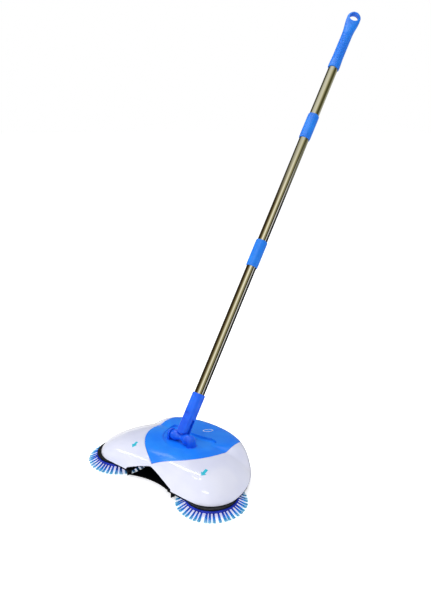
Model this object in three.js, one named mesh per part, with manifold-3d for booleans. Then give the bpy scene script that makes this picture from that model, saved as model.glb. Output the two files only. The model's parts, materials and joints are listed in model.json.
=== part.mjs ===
// Hand-push spin sweeper: two counter-rotating side brushes geared to the wheels, a dust tray
// between them and a three-piece screw-together handle on a two-way joint.
// Millimetres, +Z up, the front faces -Y, left and right are seen from the front.
// The origin is on the floor, midway between the two brush axes.
import * as THREE from "three";
import { mergeVertices } from "three/addons/utils/BufferGeometryUtils.js";
import Module from "manifold-3d";

const wasm = await Module();
wasm.setup();

// ---- driving dimensions ----
const gap = 0.3; // clearance between pieces that touch
const sides = [
  { name: "left", s: -1 },
  { name: "right", s: 1 },
];

// head
const frontY = -46.5; // straight front of the outline
const wingX = 112.5; // where the straight front ends
const wingR = 58; // round front corner
const flankR = 150; // long arc of the flank
const flankAngle = (55 * Math.PI) / 180;
const rearY = 168;
const rimZ = 16.5; // lower edge of the white shell
const crownZ = 62.5;
const crownDrop = 9; // how far the crown falls towards the rear
const crestY = 60; // plan centre of the dome
const skin = 2.2;
const archZ = 43.5; // top of the mouth
const archHalf = 61;

// brushes
const brushX = 123;
const tipR = 70;
const hubR = 52;
const hubBottom = 8.6;
const hubTop = 12.9;

// base plate
const plateBottom = 13.6;
const plateTop = 16.2;
const guardR = 50.5; // round guard over each brush

// tray
const bayHalf = 49.2; // inside of the bay
const bayWall = 1.8;
const bayTop = 37;
const trayFront = 10;
const trayHalf = 48.4;
const trayBottom = 3.2;
const trayTop = 36;

// wheels and gears
const wheelX = 64;
const wheelY = 76;
const wheelR = 20;
const wheelWidth = 12;
const axleR = 2;
const gearModule = 2;
const axleZ = wheelR;
const pinionTeeth = 12;
const crownTeeth = 12;
const spurTeeth = 16;
const idlerTeeth = 26;
const brushTeeth = 12;
const spurZ = 35.4;
const gearWidth = 4;
const pinionR = (gearModule * pinionTeeth) / 2;
const crownR = (gearModule * crownTeeth) / 2;
const addendum = 0.75 * gearModule;
const dedendum = gearModule;
const trainLength = (gearModule * (spurTeeth + 2 * idlerTeeth + brushTeeth)) / 2;
const crownX = brushX - Math.sqrt(trainLength ** 2 - wheelY ** 2);
const trainWay = Math.atan2(-wheelY, brushX - crownX); // from the crown gear towards the brush
const idlerReach = (gearModule * (spurTeeth + idlerTeeth)) / 2;
const idlerX = crownX + idlerReach * Math.cos(trainWay);
const idlerY = wheelY + idlerReach * Math.sin(trainWay);
const gearPlateZ = 40;
const gearPlateThick = 1.4;
const shaftR = 3;
const pinR = 2;

// handle, measured up its own axis from the tilt axis
const tiltY = 52;
const tiltZ = 68;
const lean = (36.66 * Math.PI) / 180;
const tubeR = 11;
const tubeWall = 0.4;
const sleeveR = 12.9;
const forkPin = 20;
const forkR = 13.6;
const slotHalf = 3.8;
const socketTop = 94;
const lowerJoint = [386, 448];
const upperJoint = [706, 768];
const gripBottom = 895;
const eyeAt = 1035;
const eyeR = 16;
const eyeHole = 11;

// ---- shape helpers ----
const v2 = (x, y) => new THREE.Vector2(x, y);
const v3 = (x, y, z) => new THREE.Vector3(x, y, z);

// A closed geometry as a solid, with its shared corners merged and its collapsed faces dropped.
function solid(geometry) {
  const bare = geometry.index ? geometry.toNonIndexed() : geometry.clone();
  bare.deleteAttribute("normal");
  bare.deleteAttribute("uv");
  const merged = mergeVertices(bare, 1e-4);
  const index = merged.index.array;
  const kept = [];
  for (let i = 0; i < index.length; i += 3) {
    const [a, b, c] = [index[i], index[i + 1], index[i + 2]];
    if (a !== b && b !== c && a !== c) kept.push(a, b, c);
  }
  const vertProperties = merged.attributes.position.array;
  const triVerts = new Uint32Array(kept);
  return new wasm.Manifold(new wasm.Mesh({ numProp: 3, vertProperties, triVerts }));
}

function geometryOf(body) {
  const { numProp, numVert, vertProperties, triVerts } = body.getMesh();
  const corners = new Float32Array(numVert * 3);
  for (let i = 0; i < numVert; i++) {
    corners.set(vertProperties.subarray(i * numProp, i * numProp + 3), i * 3);
  }
  const geometry = new THREE.BufferGeometry();
  geometry.setAttribute("position", new THREE.BufferAttribute(corners, 3));
  geometry.setIndex(new THREE.BufferAttribute(triVerts, 1));
  return geometry;
}

function box(x0, x1, y0, y1, z0, z1) {
  const geometry = new THREE.BoxGeometry(x1 - x0, y1 - y0, z1 - z0);
  return solid(geometry.translate((x0 + x1) / 2, (y0 + y1) / 2, (z0 + z1) / 2));
}

// An upright cylinder between two heights.
function drum(x, y, z0, z1, radius, sidesRound = 32) {
  const geometry = new THREE.CylinderGeometry(radius, radius, z1 - z0, sidesRound);
  return solid(geometry.rotateX(Math.PI / 2).translate(x, y, (z0 + z1) / 2));
}

// A cylinder along X between two places.
function bar(x0, x1, y, z, radius, sidesRound = 24) {
  const geometry = new THREE.CylinderGeometry(radius, radius, Math.abs(x1 - x0), sidesRound);
  return solid(geometry.rotateZ(Math.PI / 2).translate((x0 + x1) / 2, y, z));
}

// A flat outline raised between two heights.
function prism(points, z0, z1, holes = []) {
  const shape = new THREE.Shape(points);
  for (const hole of holes) shape.holes.push(new THREE.Path(hole));
  const geometry = new THREE.ExtrudeGeometry(shape, { depth: z1 - z0, bevelEnabled: false });
  return solid(geometry.translate(0, 0, z0));
}

// A profile of [radius, height] turned about the Z axis.
function turned(profile, sidesRound = 32) {
  const geometry = new THREE.LatheGeometry(profile.map(([r, z]) => v2(r, z)), sidesRound);
  const body = solid(geometry.rotateX(Math.PI / 2));
  return body.volume() > 0 ? body : solid(flipped(geometry));
}

function flipped(geometry) {
  const out = geometry.index ? geometry.toNonIndexed() : geometry.clone();
  const p = out.attributes.position.array;
  for (let i = 0; i < p.length; i += 9) {
    for (let k = 0; k < 3; k++) [p[i + k], p[i + 3 + k]] = [p[i + 3 + k], p[i + k]];
  }
  return out;
}

// Rings of equally many corners joined into one skin, with each end closed by a fan.
function loft(rings) {
  const count = rings[0].length;
  const corners = rings.flat();
  const faces = [];
  for (let r = 0; r + 1 < rings.length; r++) {
    for (let i = 0; i < count; i++) {
      const [a, b] = [r * count + i, r * count + ((i + 1) % count)];
      faces.push(a, b, b + count, a, b + count, a + count);
    }
  }
  const middle = (ring) => ring.reduce((sum, p) => sum.add(p), v3(0, 0, 0)).divideScalar(count);
  corners.push(middle(rings[0]), middle(rings.at(-1)));
  const last = (rings.length - 1) * count;
  for (let i = 0; i < count; i++) {
    const next = (i + 1) % count;
    faces.push(next, i, corners.length - 2, last + i, last + next, corners.length - 1);
  }
  const geometry = new THREE.BufferGeometry().setFromPoints(corners);
  geometry.setIndex(faces);
  const body = solid(geometry);
  return body.volume() > 0 ? body : solid(flipped(geometry));
}

const joined = (...bodies) => bodies.reduce((sum, body) => sum.add(body));
const mirrored = (make) => make(1).add(make(-1));

// A cylinder along Y about a point of the XZ plane.
function peg(z, radius, length, sidesRound = 16) {
  const geometry = new THREE.CylinderGeometry(radius, radius, length, sidesRound);
  return solid(geometry.translate(0, 0, z));
}

// ---- finishes ----
function finish(color, roughness, metalness = 0) {
  return new THREE.MeshStandardMaterial({ color, roughness, metalness });
}
const skyBlue = finish(0x2d8ff2, 0.25);
const deepBlue = finish(0x1f5fee, 0.35);
const gripBlue = finish(0x3f9df0, 0.5);
const whiteShell = finish(0xe9ebf6, 0.15);
const black = finish(0x111418, 0.4);
const steel = finish(0xa8a49a, 0.2, 1);
const acetal = finish(0xe6e3da, 0.5);
const rubber = finish(0x1a1b1d, 0.9);
const bristleBlue = finish(0x4ab4e8, 0.6);

const sweeper = new THREE.Group();

function place(name, body, material, group = sweeper) {
  const mesh = new THREE.Mesh(geometryOf(body), material);
  mesh.name = name;
  group.add(mesh);
}

// ---- outline and dome of the head ----
// The half outline runs from the front middle to the rear middle: a straight front, a round corner,
// the long flank arc, and a curve that closes at the rear.
const flankCentre = wingX + wingR - flankR;
const cornerY = frontY + wingR;
const flankEnd = v2(Math.cos(flankAngle), Math.sin(flankAngle))
  .multiplyScalar(flankR)
  .add(v2(flankCentre, cornerY));
const flankWay = v2(-Math.sin(flankAngle), Math.cos(flankAngle));
const rearBend = flankEnd.clone().addScaledVector(flankWay, 36);
const halfOutline = [
  [new THREE.LineCurve(v2(0, frontY), v2(wingX, frontY)), 3],
  [new THREE.EllipseCurve(wingX, cornerY, wingR, wingR, -Math.PI / 2, 0), 8],
  [new THREE.EllipseCurve(flankCentre, cornerY, flankR, flankR, 0, flankAngle), 6],
  [new THREE.CubicBezierCurve(flankEnd, rearBend, v2(45, rearY), v2(0, rearY)), 5],
];

function outline(inset, share = 1) {
  const right = [];
  for (const [curve, full] of halfOutline) {
    const steps = Math.ceil(full * share);
    for (let i = 0; i < steps; i++) {
      const point = curve.getPoint(i / steps);
      const way = curve.getTangent(i / steps);
      right.push(v2(point.x - way.y * inset, point.y + way.x * inset));
    }
  }
  right.push(v2(0, rearY - inset));
  const left = right.slice(1, -1).map((p) => v2(-p.x, p.y));
  return [...right, ...left.reverse()];
}

const smooth = (low, high, value) => THREE.MathUtils.smoothstep(value, low, high);

// The dome over one outline point: its height share is (1 - u^n)^(1/m), u from crest to rim.
// The front is full, the flanks slope, and the rear is nearly upright.
function bulge(way) {
  const front = Math.max(0, -way.y) ** 4;
  const rear = smooth(0.24, 0.8, way.y);
  return { n: 3 + 3.5 * front + 13 * rear, m: 1.5 + 1.5 * rear };
}

const crownAt = (y) => crownZ - crownDrop * smooth(30, 180, y);
const domeSteps = [0.015, 0.045, 0.095, 0.17, 0.28, 0.45, 0.7];
const hiddenSteps = [0.04, 0.13, 0.3, 0.65]; // for faces inside the head

function dome(inset, bottom, hidden = false) {
  const rim = outline(inset, hidden ? 0.5 : 1);
  const rings = [rim.map((p) => v3(p.x, p.y, bottom))];
  if (bottom < rimZ) rings.push(rim.map((p) => v3(p.x, p.y, rimZ)));
  for (const step of hidden ? hiddenSteps : domeSteps) {
    rings.push(
      rim.map((p) => {
        const u = 1 - step;
        const arm = v2(p.x, p.y - crestY);
        const { n, m } = bulge(arm.clone().normalize());
        const y = crestY + arm.y * u;
        const rise = crownAt(y) - inset - rimZ;
        return v3(arm.x * u, y, rimZ + rise * (1 - u ** n) ** (1 / m));
      }),
    );
  }
  return loft(rings);
}

// The pick-shaped outline of the blue cover, pointed at the front and open over the rear edge.
const coverFront = -34;
const coverStart = v2(0, coverFront);
const coverEdge = new THREE.CubicBezierCurve(coverStart, v2(95, 12), v2(97.6, 68.6), v2(84, 147));
function coverOutline(grow) {
  const right = coverEdge.getPoints(16).map((p, i, all) => {
    const way = coverEdge.getTangent(i / (all.length - 1));
    return v2(p.x + way.y * grow, p.y - way.x * grow);
  });
  right[0].set(0, coverFront - grow * 1.1);
  const rear = v2(right.at(-1).x - 4, rearY + 30);
  const half = [...right, rear];
  const left = half.slice(1).map((p) => v2(-p.x, p.y));
  return [...half, ...left.reverse()];
}

const archFall = 21.5; // from the top of the mouth down to its ends
const archAt = (x) => archZ - archFall * (Math.abs(x) / (archHalf - 2)) ** 1.28;

// The mouth arch as a tunnel along Y, lowered by a drop.
function mouthTunnel(drop, half, y0, y1) {
  const top = [];
  for (let i = 0; i <= 16; i++) {
    const x = half * (1 - i / 8);
    top.push(v2(x, archAt(x) - drop));
  }
  const shape = new THREE.Shape([v2(-half, -5), v2(half, -5), ...top]);
  const geometry = new THREE.ExtrudeGeometry(shape, { depth: y1 - y0, bevelEnabled: false });
  return solid(geometry.rotateX(Math.PI / 2).translate(0, y1, 0));
}

// The shallow pocket around the handle joint: a half ellipse in front, with corners at the rear.
const pocketHalf = 57;
const pocketFront = 66; // from the widest place forwards
const pocketWide = 88;
const pocketRear = 90.5;
const pocketZ = 57; // floor height at its front quarter
const pocketTilt = -0.075;
const pocketPivot = 55;
function pocketOutline(grow) {
  const right = [];
  for (let i = 0; i <= 10; i++) {
    const a = -Math.PI / 2 + (i / 10) * (Math.PI / 2 + 0.1);
    const [x, y] = [(pocketHalf + grow) * Math.cos(a), (pocketFront + grow) * Math.sin(a)];
    right.push(v2(x, pocketWide + y));
  }
  for (let i = 1; i <= 4; i++) {
    const x = 46 * (1 - i / 4);
    right.push(v2(x, pocketRear + grow + 11.5 * (x / 42) ** 2));
  }
  const left = right.slice(1, -1).map((p) => v2(-p.x, p.y));
  return [...right, ...left.reverse()];
}
function pocketBlock(grow, z0, z1) {
  const block = geometryOf(prism(pocketOutline(grow), z0, z1));
  block.translate(0, -pocketPivot, -pocketZ).rotateX(pocketTilt);
  return solid(block.translate(0, pocketPivot, pocketZ));
}

// ---- head shells ----
const screwR = 1.3;
const baseScrewAt = sides.flatMap(({ s }) => [
  [s * 68, 34],
  [s * 98, 124],
]);
const bracketScrewAt = sides.map(({ s }) => [s * 43, 46]);
const outerDome = dome(0, rimZ);
const underSkin = dome(skin, 5, true);
const shellSkin = outerDome.subtract(underSkin);
const coverSplitZ = 38.5;
const trayDoor = box(-50, 50, 100, 200, 0, bayTop + 1.2);

function upperShell() {
  const coverCut = prism(coverOutline(gap / 2), rimZ, 90);
  const rearBand = box(-120, 120, 120, 200, 0, coverSplitZ - gap);
  const step = prism(coverOutline(2.2), 0, 90).subtract(prism(coverOutline(gap / 2), 0, 90));
  const stepWall = step
    .intersect(dome(1.2, rimZ, true))
    .subtract(dome(9.5, 5, true))
    .intersect(box(-130, 130, 12, 180, 44, 90));
  const roofZ = bayTop + bayWall + gap;
  const deck = prism(coverOutline(2), 0, 90)
    .intersect(dome(8, rimZ, true))
    .subtract(dome(9.8, 5, true))
    .intersect(box(-130, 130, 12, 180, roofZ, 90));
  const inner = stepWall.add(deck);
  const wings = shellSkin.subtract(coverCut.subtract(rearBand));
  const bossAt = ([x, y]) => {
    const under = dome(y > 100 ? 1.6 : 9, 5, true);
    return drum(x, y, plateTop + gap, 80, 4, 12).intersect(under);
  };
  const bosses = joined(...baseScrewAt.map(bossAt));
  const pilots = joined(
    ...baseScrewAt.map(([x, y]) => drum(x, y, 0, plateTop + 14, screwR + gap, 12)),
    ...bracketScrewAt.map(([x, y]) => drum(x, y, 45, 56, screwR + gap, 12)),
  );
  return wings
    .add(inner)
    .subtract(mouthTunnel(0, archHalf, -70, -20))
    .add(bosses)
    .subtract(pilots)
    .subtract(trayDoor)
    .subtract(box(-39, 39, 36, 69, 40, 90))
    .subtract(prism(coverOutline(-20), 40, 90).intersect(box(-130, 130, 75, 135, 0, 90)));
}

function topCover() {
  const rearBand = box(-130, 130, 100, 200, 0, coverSplitZ);
  const region = prism(coverOutline(-gap / 2), 0, 90).subtract(rearBand);
  const plain = shellSkin.intersect(region).subtract(mouthTunnel(-1, archHalf, -70, -20));
  const pocket = pocketBlock(0, pocketZ, 80);
  const floor = pocketBlock(1.6, pocketZ - 2, 80).subtract(pocket).intersect(outerDome);
  return plain
    .subtract(pocket)
    .add(floor)
    .subtract(box(-37, -23.6, 37.5, 66.5, 40, 80))
    .subtract(box(23.6, 37, 37.5, 66.5, 40, 80));
}

// ---- base plate, lip and tray ----
// An upright wall of a stated radius that joins two plan points.
function link([x0, y0], [x1, y1], radius, z0, z1) {
  const along = Math.atan2(y1 - y0, x1 - x0);
  const points = [];
  for (let i = 0; i <= 4; i++) {
    const a = along + Math.PI / 2 + (i * Math.PI) / 4;
    points.push(v2(x0 + radius * Math.cos(a), y0 + radius * Math.sin(a)));
  }
  for (let i = 0; i <= 4; i++) {
    const a = along - Math.PI / 2 + (i * Math.PI) / 4;
    points.push(v2(x1 + radius * Math.cos(a), y1 + radius * Math.sin(a)));
  }
  return prism(points, z0, z1);
}

const postAt = (s) => [
  [s * (crownX - 20), wheelY + 14],
  [s * (brushX - 19), -4],
];
const glideX = 66;
const glideY = 148;
const glideHeight = 1.8;

const shelfInner = 52; // the plate reaches this far into the mouth, over the tips of the brushes
function basePlate() {
  const floor = prism(outline(0.8), plateBottom, plateTop).add(
    mirrored((s) => drum(s * brushX, 0, plateBottom, plateTop, guardR, 40)),
  );
  const upstand = dome(skin + 0.5, plateBottom, true)
    .subtract(dome(skin + 2, 5, true))
    .intersect(box(-180, 180, -60, 180, plateTop - 0.5, 22));
  const throat = mouthTunnel(0.5, archHalf - 0.4, -46, 12)
    .subtract(mouthTunnel(2.5, archHalf - 2.2, -60, trayFront))
    .intersect(dome(skin + 0.6, 2.3, true));
  const mouthClear = box(-shelfInner, shelfInner, -60, trayFront, 0, plateTop + 1);
  const bayBox = box(-bayHalf - bayWall, bayHalf + bayWall, trayFront, 160, 3.5, bayTop + bayWall);
  const bay = bayBox.intersect(dome(10.2, 3, true));
  const hollow = box(-bayHalf, bayHalf, trayFront - 5, 200, -1, bayTop);
  const posts = mirrored((s) =>
    joined(...postAt(s).map(([x, y]) => drum(x, y, plateTop - 0.5, gearPlateZ - gap, 3.6, 16))),
  );
  const bearing = (s) =>
    [51.0, 74.0, 114.5]
      .map((x) => box(x, x + 4, wheelY - 5, wheelY + 5, plateTop - 0.5, axleZ + 5))
      .reduce((sum, b) => sum.add(b))
      .scale([s, 1, 1]);
  const axleBore = bar(-130, 130, wheelY, axleZ, axleR + gap);
  const bearings = mirrored(bearing).subtract(axleBore.subtract(box(-51.2, 51.2, 0, 200, 0, 80)));
  const wheelWells = mirrored((s) => {
    const middle = s * wheelX;
    return box(middle - 7.5, middle + 7.5, wheelY - 22, wheelY + 22, 0, plateTop + 1);
  });
  const pinionWell = mirrored((s) => {
    const middle = s * (crownX + crownR);
    return box(middle - 4.2, middle + 4.2, wheelY - 13, wheelY + 13, 0, plateTop + 1);
  });
  const feet = mirrored((s) => drum(s * glideX, glideY, glideHeight + gap, plateBottom + 1, 6.5, 20));
  const glideSockets = mirrored((s) => drum(s * glideX, glideY, 0, 9, 2 + gap, 12));
  const bushHoles = mirrored((s) => drum(s * brushX, 0, 0, 30, 5.7, 24));
  const screwHoles = joined(
    ...baseScrewAt.map(([x, y]) => drum(x, y, 0, 30, screwR + gap, 12)),
    ...baseScrewAt.map(([x, y]) => drum(x, y, 0, 15.2, 3.4, 16)),
  );
  return floor
    .subtract(mouthClear)
    .add(throat)
    .add(bay)
    .add(upstand.subtract(mouthTunnel(0, archHalf, -70, 5)))
    .subtract(hollow)
    .subtract(mirrored((s) => drum(s * brushX, 0, -6, plateBottom - 0.1, tipR + 2, 40)))
    .subtract(wheelWells)
    .add(posts)
    .add(bearings)
    .subtract(pinionWell)
    .add(feet)
    .subtract(glideSockets)
    .subtract(bushHoles)
    .subtract(screwHoles);
}

// The lip rests on the floor and ramps up to the tray; its ends follow the sweep of the brushes.
const lipFront = -23.8; // front edge in the middle
const lipSweep = 13.6; // how much further forward it reaches at its ends
const lipHalf = 61.5;
const lipEdge = 1.2;
const lipRise = 6;
function floorLip() {
  const half = [];
  for (let i = 0; i < 8; i++) {
    const share = i / 8;
    half.push(v2(lipHalf * share, lipFront - lipSweep * share ** 2));
  }
  const end = lipFront - lipSweep;
  for (let i = 0; i <= 6; i++) {
    const y = end + (i * (trayFront - 0.5 - end)) / 6;
    half.push(v2(brushX - Math.sqrt((tipR + 2) ** 2 - y * y), y));
  }
  const left = half.slice(1).map((p) => v2(-p.x, p.y));
  const slab = prism([...half, ...left.reverse()], 0, lipEdge + lipRise);
  const slope = Math.atan2(lipRise, trayFront - end);
  const above = new THREE.BoxGeometry(140, 80, 20).translate(0, 35, 10).rotateX(slope);
  const cheekGap = mirrored((s) => box(s * 60 - 3, s * 60 + 3, -60, -25, 2, 20));
  return slab.subtract(solid(above.translate(0, end, lipEdge))).subtract(cheekGap);
}

const latchY = 154;
const latchBottom = 26.6;
function dustTray() {
  const body = prism(outline(0.4), trayBottom, trayTop)
    .intersect(outerDome)
    .add(prism(outline(0.4), trayBottom, rimZ + 1))
    .intersect(box(-trayHalf, trayHalf, trayFront + 0.4, 180, 0, 50));
  const cavity = box(-trayHalf + 1.8, trayHalf - 1.8, trayFront + 2.2, 148, trayBottom + 1.8, 60);
  const lowFront = box(-60, 60, 0, trayFront + 5, trayBottom + 4.5, 60);
  const fingers = bar(-20, 20, rearY + 1, 12, 8.5);
  const latchSlot = box(-8.4, 8.4, latchY - 3.3, 180, latchBottom - 4.2, 60);
  return body.subtract(cavity).subtract(lowFront).subtract(fingers).subtract(latchSlot);
}

function trayLatch() {
  const stem = box(-8, 8, latchY - 2, latchY + 2, latchBottom, trayTop - 0.4);
  const hook = box(-5, 5, latchY - 2, latchY + 2, trayTop - 0.5, bayTop - gap);
  const button = box(-8, 8, latchY + 1.5, rearY - 0.2, latchBottom + 0.4, latchBottom + 6.4);
  return stem.add(hook).add(button);
}

function latchSpring() {
  const turns = 3;
  const points = [];
  const [coilR, coilBottom, coilRise] = [2.6, latchBottom - 3.55, 2.95];
  for (let i = 0; i <= turns * 12; i++) {
    const a = (i * 2 * Math.PI) / 12;
    const z = coilBottom + (i * coilRise) / (turns * 12);
    points.push(v3(coilR * Math.cos(a), latchY + coilR * Math.sin(a), z));
  }
  const extrudePath = new THREE.CatmullRomCurve3(points);
  const wire = new THREE.Shape().absarc(0, 0, 0.25, 0, 2 * Math.PI);
  const options = { extrudePath, steps: 40, curveSegments: 2, bevelEnabled: false };
  return solid(new THREE.ExtrudeGeometry(wire, options));
}

// ---- wheels, gears and brushes ----
// A gear blank with straight-flanked teeth; the first tooth points along the phase angle.
function gearOutline(teeth, phase) {
  const pitch = (2 * Math.PI) / teeth;
  const radius = (gearModule * teeth) / 2;
  const points = [];
  const shares = [
    [-0.27, radius - dedendum],
    [-0.1, radius + addendum],
    [0.1, radius + addendum],
    [0.27, radius - dedendum],
  ];
  for (let i = 0; i < teeth; i++) {
    for (const [share, r] of shares) {
      const a = phase + (i + share) * pitch;
      points.push(v2(r * Math.cos(a), r * Math.sin(a)));
    }
  }
  return points;
}

function round(radius, count = 12) {
  const points = [];
  for (let i = 0; i < count; i++) {
    const a = (i * 2 * Math.PI) / count;
    points.push(v2(radius * Math.cos(a), radius * Math.sin(a)));
  }
  return points;
}

const gear = (teeth, phase, bore, z0, z1) => prism(gearOutline(teeth, phase), z0, z1, [round(bore)]);

// The angle of a side's gear train: mirrored on the left.
const wayOf = (s) => (s > 0 ? trainWay : Math.PI - trainWay);
const halfPitch = (teeth) => Math.PI / teeth;

function crownGear(s) {
  const discBottom = axleZ + pinionR + addendum + gap;
  const disc = drum(0, 0, discBottom, spurZ + 0.1, crownR + 3.2, 24);
  const spur = gear(spurTeeth, wayOf(s) + halfPitch(spurTeeth), 1, spurZ, spurZ + gearWidth);
  const toothTop = discBottom + 0.1;
  const toothTip = axleZ + pinionR - addendum;
  const teeth = [];
  for (let i = 0; i < crownTeeth; i++) {
    const tooth = new THREE.CylinderGeometry(1.75, 0.65, toothTop - toothTip, 4, 1);
    tooth.rotateY(Math.PI / 4).scale(2.3, 1, 0.8).rotateX(Math.PI / 2);
    tooth.translate(crownR, 0, (toothTop + toothTip) / 2);
    teeth.push(solid(tooth.rotateZ(((i + 0.5) * 2 * Math.PI) / crownTeeth)));
  }
  return disc
    .add(spur)
    .add(joined(...teeth))
    .subtract(drum(0, 0, 0, 60, pinR + gap, 16))
    .translate([s * crownX, wheelY, 0]);
}

function drivePinion(s) {
  const blank = geometryOf(gear(pinionTeeth, 0, axleR + gap, -3, 3));
  return solid(blank.rotateY(Math.PI / 2).translate(s * (crownX + crownR), wheelY, axleZ));
}

function idlerGear(s) {
  const wheel = gear(idlerTeeth, wayOf(s), pinR + gap, spurZ + gap, spurZ + gearWidth);
  return wheel.translate([s * idlerX, idlerY, 0]);
}

function brushGear(s) {
  const phase = wayOf(s) + Math.PI + halfPitch(brushTeeth);
  const wheel = gear(brushTeeth, phase, shaftR + gap, spurZ, spurZ + gearWidth);
  return wheel.translate([s * brushX, 0, 0]);
}

function gearPlate(s) {
  const stops = [postAt(1)[0], [crownX, wheelY], [idlerX, idlerY], [brushX, 0], postAt(1)[1]];
  const plateEnd = gearPlateZ + gearPlateThick;
  const links = stops.slice(1).map((stop, i) => link(stops[i], stop, 6, gearPlateZ, plateEnd));
  const holes = joined(
    drum(crownX, wheelY, 0, 60, pinR + gap, 12),
    drum(idlerX, idlerY, 0, 60, pinR + gap, 12),
    drum(brushX, 0, 0, 60, shaftR + gap, 12),
  );
  const plate = geometryOf(joined(...links).subtract(holes));
  return s > 0 ? solid(plate) : solid(flipped(plate.scale(-1, 1, 1)));
}

function brushHub() {
  const profile = [
    [shaftR + gap, hubTop],
    [shaftR + gap, hubBottom],
    [9, hubBottom],
    [10, hubTop - 2.4],
    [44, hubTop - 2.4],
    [45, hubBottom],
    [hubR, hubBottom],
    [hubR, hubTop],
    [shaftR + gap, hubTop],
  ];
  return turned(profile, 36);
}

function bristleRing() {
  const profile = [
    [46, hubBottom - gap],
    [hubR - 1.2, hubBottom - gap],
    [tipR, 2.2],
    [tipR, 0.5],
    [66, 0.5],
    [46, 6.4],
    [46, hubBottom - gap],
  ];
  return turned(profile, 36);
}

function wheelHub() {
  const profile = [
    [axleR + gap, -wheelWidth / 2],
    [5, -wheelWidth / 2],
    [6, -wheelWidth / 2 + 2.5],
    [14.6, -wheelWidth / 2 + 2.5],
    [14.6, wheelWidth / 2 - 2.5],
    [6, wheelWidth / 2 - 2.5],
    [5, wheelWidth / 2],
    [axleR + gap, wheelWidth / 2],
    [axleR + gap, -wheelWidth / 2],
  ];
  return solid(geometryOf(turned(profile, 20)).rotateY(Math.PI / 2));
}

function tyre() {
  const profile = [
    [14.9, -wheelWidth / 2 + 0.4],
    [wheelR - 1.5, -wheelWidth / 2],
    [wheelR, -wheelWidth / 2 + 1.5],
    [wheelR, wheelWidth / 2 - 1.5],
    [wheelR - 1.5, wheelWidth / 2],
    [14.9, wheelWidth / 2 - 0.4],
    [14.9, -wheelWidth / 2 + 0.4],
  ];
  return solid(geometryOf(turned(profile, 36)).rotateY(Math.PI / 2));
}

const pinTop = 42.6;
function brushShaft(s) {
  const thread = drum(s * brushX, 0, 0, 19, screwR + gap, 12);
  return drum(s * brushX, 0, 8, pinTop, shaftR, 20).subtract(thread);
}

function brushBush(s) {
  const hole = drum(s * brushX, 0, 0, 30, shaftR + gap, 16);
  return drum(s * brushX, 0, plateBottom - gap, 20, 5.4, 16).subtract(hole);
}

function rearGlide(s) {
  const foot = drum(s * glideX, glideY, 0, glideHeight, 6.5, 24);
  return foot.add(drum(s * glideX, glideY, 1, 8.5, 2, 12));
}

// A pan-head screw pointing up, its head's underside at the height given.
function screw(seat, length, headR = 3) {
  const shank = drum(0, 0, seat - 0.1, seat + length, screwR, 8);
  return drum(0, 0, seat - 1.6, seat, headR, 12)
    .add(shank)
    .subtract(box(-2, 2, -0.4, 0.4, seat - 3, seat - 1))
    .subtract(box(-0.4, 0.4, -2, 2, seat - 3, seat - 1));
}

// ---- handle joint ----
const earInner = 24.4;
const earR = 11;
const bracketZ = 47;
function ear(s) {
  const rings = [];
  const levels = [bracketZ, 58, 68, 73, 77, 78.8];
  for (const z of levels) {
    const above = Math.max(0, z - tiltZ) / earR;
    const below = Math.max(0, tiltZ - z) / (tiltZ - bracketZ);
    const crown = Math.sqrt(1 - above * above);
    const reach = (10.2 + 1.3 * below) * crown;
    const half = (earR + 1.6 * below) * crown;
    const ring = [];
    for (let i = 0; i <= 8; i++) {
      const a = -Math.PI / 2 + (i * Math.PI) / 8;
      ring.push(v3(s * (earInner + reach * Math.cos(a) ** 0.8), tiltY + half * Math.sin(a), z));
    }
    rings.push(ring);
  }
  return loft(rings);
}

function pivotBracket() {
  const plate = box(-48, 48, 38, 66, bracketZ, bracketZ + 3);
  const bores = bar(-30, 30, tiltY, tiltZ, 2.8);
  const holes = joined(...bracketScrewAt.map(([x, y]) => drum(x, y, 40, 60, screwR + gap, 12)));
  return plate.add(ear(1)).add(ear(-1)).subtract(bores).subtract(holes);
}

// Shapes of the handle are made along +Z from the tilt axis and leaned back as one group.
function swivelKnuckle() {
  const half = 24;
  const profile = [[0, -half]];
  for (let i = 0; i <= 12; i++) {
    const x = half * (i / 6 - 1);
    const saddle = Math.abs(x) < 12 ? forkPin - Math.sqrt((forkR + 0.4) ** 2 - x * x) : 99;
    profile.push([Math.min(10.4 - 1.2 * Math.max(0, Math.abs(x) - 22.5), saddle), x]);
  }
  profile.push([0, half]);
  const barrel = solid(geometryOf(turned(profile, 24)).rotateY(Math.PI / 2));
  const end = peg(forkPin, 9.5, 7, 24);
  const tongue = box(-9.5, 9.5, -3.5, 3.5, 0, forkPin).add(end);
  return barrel
    .add(tongue)
    .subtract(bar(-40, 40, 0, 0, 2.8))
    .subtract(peg(forkPin, 2.5, 30));
}

function handleSocket() {
  const body = drum(0, 0, 2, socketTop, forkR, 40);
  const roundEnd = peg(forkPin, forkR, 40, 40);
  const above = box(-20, 20, -20, 20, forkPin, 120);
  const scallop = (way) => {
    const points = [v2(-15, 0), v2(15, 0)];
    for (let i = 0; i <= 12; i++) {
      const a = (i * Math.PI) / 12;
      points.push(v2(15 * Math.cos(a), 34 + 18 * Math.sin(a)));
    }
    const shape = new THREE.Shape(points);
    const cut = new THREE.ExtrudeGeometry(shape, { depth: 10, bevelEnabled: false });
    return solid(cut.rotateX(Math.PI / 2).translate(0, way > 0 ? 20.4 : -10.4, 0));
  };
  return body
    .intersect(roundEnd.add(above))
    .subtract(scallop(1))
    .subtract(scallop(-1))
    .subtract(box(-20, 20, -slotHalf, slotHalf, 0, 40))
    .subtract(drum(0, 0, 58, 120, tubeR + gap, 32))
    .subtract(peg(forkPin, 2.5, 19.2));
}

function pipe(z0, z1, outer, inner, sidesRound = 28) {
  return drum(0, 0, z0, z1, outer, sidesRound).subtract(drum(0, 0, z0 - 1, z1 + 1, inner, sidesRound));
}

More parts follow.
